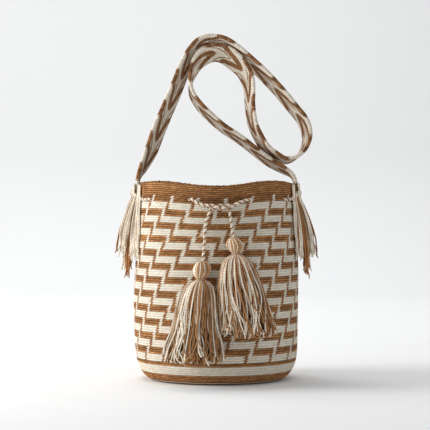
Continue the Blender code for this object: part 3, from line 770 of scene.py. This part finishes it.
def make_cords():
    """The drawstring, and its two free ends that hang from the knot."""
    yarn = yarn_material("cord_yarn", 2.0, 0.004, 0.4, 0.00025)
    colours = (CREAM, CREAM * 0.85, BROWN * 0.8)
    soup = Soup()
    rope(soup, drawstring_path(), CORD_RADIUS, colours, start=(0, 0, 1))
    cord = soup.make("drawstring_rope", yarn, "bag")
    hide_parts("drawstring")
    for side, route, body in (("left", END_LEFT, "cord_end_left"),
                              ("right", END_RIGHT, "cord_end_right")):
        soup = Soup()
        path = catmull(route, 8)
        path, length = rope(soup, path, CORD_RADIUS, colours, start=(0, -1, 0), phase=0.6)
        obj = soup.make(f"hanging_cord_{side}", yarn, None)
        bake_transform(obj)
        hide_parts(f"drawstring_end_{side}")


# ================================================================ tassels
def ring_at(table, z):
    """Middle x, half width, middle y and half depth of a tassel at that height."""
    t = np.array(table)[::-1]
    return [np.interp(z, t[:, 0], t[:, k]) for k in (1, 2, 3, 4)]


def tassel_colours(xf, kind, rng):
    """A strand's colour by where it hangs: xf is -1 at the left and 1 at the right."""
    if kind == "left":
        cream = np.interp(xf, (-1, -0.4, -0.1, 0.3, 0.7, 1), (0.44, 0.40, 0.28, 0.42, 0.36, 0.42))
        brown = np.interp(xf, (-1, -0.4, -0.1, 0.3, 0.7, 1), (0.12, 0.22, 0.36, 0.24, 0.28, 0.18))
    else:
        cream = np.interp(xf, (-1, -0.5, -0.1, 0.3, 0.7, 1), (0.56, 0.58, 0.32, 0.36, 0.32, 0.34))
        brown = np.interp(xf, (-1, -0.5, -0.1, 0.3, 0.7, 1), (0.10, 0.14, 0.34, 0.24, 0.30, 0.22))
    pick = rng.random(len(xf))
    dark = np.where((pick < cream + brown)[:, None], BROWN * 1.05,
                    TAN * np.array((0.84, 0.74, 0.62)))
    out = np.where((pick < cream)[:, None], CREAM, dark)
    return out * rng.uniform(0.64, 1.14, (len(xf), 1))


def make_tassel(side, table, body, seed):
    """A bundle of folded yarn: a ball, a tied neck and a skirt."""
    rng = np.random.default_rng(seed)
    yarn = yarn_material(f"tassel_yarn_{side}", 2.0, 0.0045, 0.35, 0.0002)
    soup = Soup()
    z_top, z_neck, z_end = table[0][0], table[NECK_ROW][0], table[-1][0]
    # The ball: yarns laid from the cord down to the neck.
    m, n, thin = BALL_STRANDS, BALL_POINTS, BALL_YARN
    ang = TAU * (np.arange(m) + rng.uniform(-0.2, 0.2, m)) / m
    z = np.linspace(z_top - 0.0004, z_neck - 0.001, n)
    cx, hw, cy, hd = ring_at(table, z)
    twist = 0.25 * np.sin(np.linspace(0, math.pi, n))
    a = ang[:, None] + twist[None, :] * rng.uniform(0.6, 1.2, (m, 1))
    paths = np.stack([cx + (hw - thin * 0.6) * np.cos(a), cy + (hd - thin * 0.6) * np.sin(a),
                      np.broadcast_to(z, a.shape)], -1)
    light = rng.random(m) < (0.20 + 0.40 * (np.abs(np.cos(ang)) > 0.75))
    col = np.where(light[:, None], CREAM, TAN * np.array((0.95, 0.82, 0.68)))
    col = col * rng.uniform(0.8, 1.1, (m, 1))
    radii = np.full((m, n), thin) * np.interp(np.arange(n), (0, 4, 12, 16), (0.6, 1, 1, 0.7))
    refs = np.stack([-np.sin(ang), np.cos(ang), np.zeros(m)], -1)
    soup.tubes(paths, radii, 7, np.repeat(col[:, None], n, 1), refs)
    # A second, lower layer closes the gaps between them; its colour is darkened to TAN * 0.6 as
    # painted shade.
    a = (ang + TAU / m / 2)[:, None]
    paths = np.stack([cx + (hw - thin * 1.7) * np.cos(a), cy + (hd - thin * 1.7) * np.sin(a),
                      np.broadcast_to(z, (m, n))], -1)
    col = TAN * 0.6 * np.ones((m, 1))
    soup.tubes(paths, radii * 1.1, 6, np.repeat(col[:, None], n, 1), refs)
    # The skirt: an outer layer of strands, then those inside it, darkened with painted shade.
    m, n, thin, front = SKIRT_STRANDS, SKIRT_POINTS, SKIRT_YARN, SKIRT_FRONT
    frac = np.concatenate([rng.uniform(0.87, 1.0, front),
                           np.sqrt(rng.uniform(0.12, 0.76, m - front))])
    ang = np.concatenate([TAU * (np.arange(front) + rng.uniform(-0.45, 0.45, front)) / front,
                          rng.uniform(0, TAU, m - front)])
    low = z_end + rng.uniform(-0.003, 0.009, m) + 0.004 * (rng.random(m) < 0.12)
    low = low + 0.0035 * np.cos(ang) ** 2
    t = np.linspace(0, 1, n) ** 0.85
    top = z_neck - 0.0005
    z = top + (low - top)[:, None] * t[None, :]
    cx, hw, cy, hd = ring_at(table, z)
    grow = t[None, :]
    wander = (rng.normal(0, 0.19, (m, 1)) * np.sin(grow * 3.4 + rng.uniform(0, 6, (m, 1)))
              + rng.normal(0, 0.15, (m, 1)) * np.sin(grow * 9.5 + rng.uniform(0, 6, (m, 1)))) * grow
    wander = wander + rng.normal(0, 0.20, (m, 1)) * grow ** 4
    a = ang[:, None] + wander + 0.05 * np.sin(ang * 11 + 1.3)[:, None] * grow
    f = frac[:, None] + rng.normal(0, 0.04, (m, 1)) * grow + rng.normal(0.0, 0.05, (m, 1)) * grow ** 5
    f = np.minimum(f, 1.07)
    fy = np.where(np.sin(a) > 0, np.minimum(f, 0.97), f)
    paths = np.stack([cx + (hw - thin) * f * np.cos(a), cy + (hd - thin) * fy * np.sin(a), z], -1)
    radii = np.full((m, n), thin) * rng.uniform(0.88, 1.12, (m, 1))
    # Plied ends that open a little, many with a small knot.
    k = np.arange(n)
    knot = (rng.random(m) < 0.55)[:, None] * np.interp(k, (n - 5, n - 3.2, n - 2), (0, 0.55, 0.0))
    radii = radii * (1 + knot) * np.interp(k, (0, 3, n - 3, n - 1), (0.75, 1, 1.0, 1.18))
    col = tassel_colours(np.cos(ang), side, rng)
    # Painted shade: the strands inside the skirt are darkened as if in shadow.
    col = col * np.where((frac < 0.868)[:, None], SKIRT_INNER_PAINTED_SHADE, 1.0)
    paths[:, -1] += rng.normal(0, 0.0008, (m, 3))
    refs = np.stack([-np.sin(ang), np.cos(ang), np.zeros(m)], -1)
    soup.tubes(paths, radii, 6, np.repeat(col[:, None], n, 1), refs)
    obj = soup.make(f"yarn_tassel_{side}", yarn, body)
    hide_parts(f"tassel_{side}")
    # The tie at the neck: turns of yarn.
    soup = Soup()
    zc = (table[NECK_ROW][0] + table[NECK_ROW + 1][0]) / 2
    cx, _, cy, _ = ring_at(table, zc)
    a = np.linspace(0, TAU * TIE_TURNS, TIE_POINTS)
    path = np.stack([cx + TIE_RADIUS * np.cos(a), cy + TIE_RADIUS * np.sin(a),
                     zc + 0.0013 - 0.0026 * a / a[-1]], -1)
    soup.tubes(path[None], np.full((1, TIE_POINTS), TIE_YARN), 7,
               np.full((1, TIE_POINTS, 3), 1.0) * TAN * 0.85, (0, 0, 1))
    tie = soup.make(f"neck_tie_{side}", yarn, body)
    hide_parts(f"tassel_binding_{side}")


# ================================================================ fringes of the strap
def make_fringe(side, sign, seed):
    """The strap's loose ends over the rim, and the seam. sign is -1 at the left."""
    rng = np.random.default_rng(seed)
    yarn = yarn_material(f"fringe_yarn_{side}", 2.0, 0.005, 0.35, 0.0002)
    soup = Soup()
    groups = (
        # strands, colour, y at the seam, y at the end, height of the end, how far it stands off
        (13, CREAM, (-0.018, 0.000), (-0.022, 0.002), (0.183, 0.199), (0.011, 0.024)),
        (2, BROWN * 0.7, (-0.012, 0.002), (-0.016, 0.010), (0.183, 0.193), (0.022, 0.029)),
        (16, BROWN * 1.05, (-0.014, 0.006), (-0.020, 0.004), (0.152, 0.176), (0.004, 0.014)),
        (9, CREAM, (-0.021, -0.012), (-0.030, -0.018), (0.176, 0.194), (0.003, 0.008)),
        (14, CREAM, (-0.034, -0.012), (-0.046, -0.024), (0.180, 0.200), (0.000, 0.004)),
        (3, BROWN * 0.9, (-0.030, -0.018), (-0.044, -0.028), (0.180, 0.205), (0.001, 0.004)),
        (12, CREAM, (0.000, 0.016), (0.002, 0.026), (0.158, 0.192), (0.006, 0.022)),
        (5, TAN, (-0.012, 0.014), (-0.014, 0.020), (0.162, 0.190), (0.006, 0.020)),
    )
    for count, colour, (y0, y1), (f0, f1), (e0, e1), (d0, d1) in groups:
        n = FRINGE_POINTS
        spot = np.sort(rng.random(count))[:, None]
        y = y0 + (y1 - y0) * spot
        foot = f0 + (f1 - f0) * (spot + rng.normal(0, 0.12, (count, 1)))
        end = rng.uniform(e0, e1, count)
        off = rng.uniform(d0, d1, count)
        t = np.linspace(0, 1, n)[None, :]
        start = FRINGE_TOP + rng.uniform(-0.002, 0.002, count)
        z = start[:, None] + (end - start)[:, None] * t
        ys = y + (foot - y) * smoothstep(0.05, 0.95, t)
        # Over the strap's end, down to its foot, and out in a slack curve.
        free = 1 - (1 - np.clip((t - 0.05) / 0.95, 0, 1)) ** 2.3
        wall = np.interp(z, np.array(PROFILE)[::-1, 2], np.array(PROFILE)[::-1, 1])
        round_wall = np.sqrt(np.maximum((wall + 0.0016) ** 2 - ys ** 2, 0.0))
        over = np.where(np.abs(ys) > 0.0212, round_wall + 0.0008, 0.1230)
        lie = round_wall + (over - round_wall) * smoothstep(0.2745, 0.2815, z)
        x = lie + rng.uniform(0.0, 0.0016, (count, 1)) + off[:, None] * free
        phase = rng.uniform(0, 6, (count, 1))
        ys = ys + rng.normal(0, 0.0014, (count, 1)) * np.sin(t * 9 + phase) * (0.3 + t)
        x = x + np.abs(rng.normal(0, 0.0011, (count, 1))) * np.sin(t * 8 + phase) * t
        # A bundle's ends are drawn together and knotted.
        gather = smoothstep(0.74, 0.86, t) * (1 - 0.9 * smoothstep(0.90, 1.0, t))
        ys = ys + (ys.mean(0, keepdims=True) - ys) * gather * 0.45
        x = x + (x.mean(0, keepdims=True) - x) * gather * 0.35
        paths = np.stack([sign * x, ys, z], -1)
        paths[:, -2:] += rng.normal(0, 0.0006, (count, 2, 3))
        radii = np.full((count, n), FRINGE_YARN) * rng.uniform(0.85, 1.15, (count, 1))
        knot = np.interp(np.arange(n), (n - 6, n - 4.4, n - 3), (0, 0.7, 0))
        radii = radii * (1 + knot * (rng.random((count, 1)) < 0.6))
        radii[:, -1] *= 0.6
        cols = np.repeat((colour * rng.uniform(0.82, 1.1, (count, 1)))[:, None], n, 1)
        soup.tubes(paths, radii, 6, cols, (0, 1, 0))
    obj = soup.make(f"loose_fringe_{side}", yarn, "bag")
    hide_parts(f"strap_fringe_{side}")
    # The stitches that hold the strap to the rim.
    soup = Soup()
    half = STRAP_HALF - SEAM_STITCH
    line = [(-half, z) for z in np.arange(SEAM_TOP, SEAM_BOTTOM - 0.0007, -SEAM_STITCH)]
    line += [(yy, SEAM_BOTTOM) for yy in np.linspace(-half, half, 10)[1:-1]]
    line += [(half, z) for z in np.arange(SEAM_BOTTOM, SEAM_TOP + 0.0005, SEAM_STITCH)]
    for (ya, za), (yb, zb) in zip(line, line[1:]):
        t = np.linspace(0.08, 0.92, 7)
        arch = np.sin(np.linspace(0, math.pi, 7)) * 0.0008
        path = np.stack([sign * (SEAM_FACE + arch), ya + (yb - ya) * t, za + (zb - za) * t], -1)
        soup.tubes(path[None], np.full((1, 7), SEAM_YARN), 6, np.ones((1, 7, 3)) * TAN, (1, 0, 0))
    sewing = soup.make(f"seam_stitches_{side}", yarn, "bag")
    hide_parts(f"strap_sewing_{side}")


# ================================================================ studio
def area_light(name, place, target, size, power, colour=(1, 1, 1)):
    light = bpy.data.lights.new(name, "AREA")
    light.shape = "RECTANGLE"
    light.size, light.size_y = size
    light.energy = power
    light.color = colour
    obj = bpy.data.objects.new(name, light)
    bpy.context.scene.collection.objects.link(obj)
    obj.location = place
    obj.rotation_euler = (Vector(target) - Vector(place)).to_track_quat("-Z", "Y").to_euler()


def make_studio():
    """Pale paper curving up behind the bag, two soft lights, a bright world and the camera."""
    turn = np.linspace(0, math.pi / 2, 17)
    y = [PAPER_FRONT, *(PAPER_BACK - PAPER_BEND + PAPER_BEND * np.sin(turn)), PAPER_BACK]
    z = [0.0, *(PAPER_BEND * (1 - np.cos(turn))), PAPER_TALL]
    x = np.linspace(-6, 6, 13)
    points = np.array([[(xx, yy, zz) for xx in x] for yy, zz in zip(y, z)])
    polys, _, _ = grid_polys(len(y), len(x), False)
    soup = Soup()
    uv = np.zeros(polys.shape + (2,))
    soup.surface(points, np.ones((points.shape[0] * points.shape[1], 3)), [polys], [uv])
    floor = soup.make("studio_floor", paper_material("pale_paper"), None)

    area_light("key_left", (-2.0, -0.22, 0.95), (0, 0, 0.2), (1.3, 1.5), 43, (1.0, 0.985, 0.96))
    area_light("backdrop_glow", (-0.9, 1.3, 2.6), (0.2, 3.0, 0.6), (2.6, 1.4), 40)
    world = bpy.data.worlds.new("studio")
    world.use_nodes = True
    sky = world.node_tree.nodes["Background"].inputs
    sky["Color"].default_value = (0.97, 0.985, 1.0, 1.0)
    sky["Strength"].default_value = 0.575
    bpy.context.scene.world = world
    bpy.context.scene.view_settings.view_transform = "Standard"

    lens = bpy.data.cameras.new("camera")
    lens.lens, lens.sensor_width = FOCAL_LENGTH, SENSOR_WIDTH
    lens.clip_end = 50.0
    camera = bpy.data.objects.new("camera", lens)
    bpy.context.scene.collection.objects.link(camera)
    camera.location = CAMERA_PLACE
    line = Vector(CAMERA_AIM) - Vector(CAMERA_PLACE)
    camera.rotation_euler = line.to_track_quat("-Z", "Y").to_euler()
    bpy.context.scene.camera = camera


stitches = crochet_material("crochet_stitches")
make_wall(stitches)
make_base(stitches)
make_inside(stitches)
make_strap()
make_cords()
make_tassel("left", TASSEL_LEFT, "tassel_left", 21)
make_tassel("right", TASSEL_RIGHT, "tassel_right", 22)
make_fringe("left", -1, 31)
make_fringe("right", 1, 32)
make_studio()
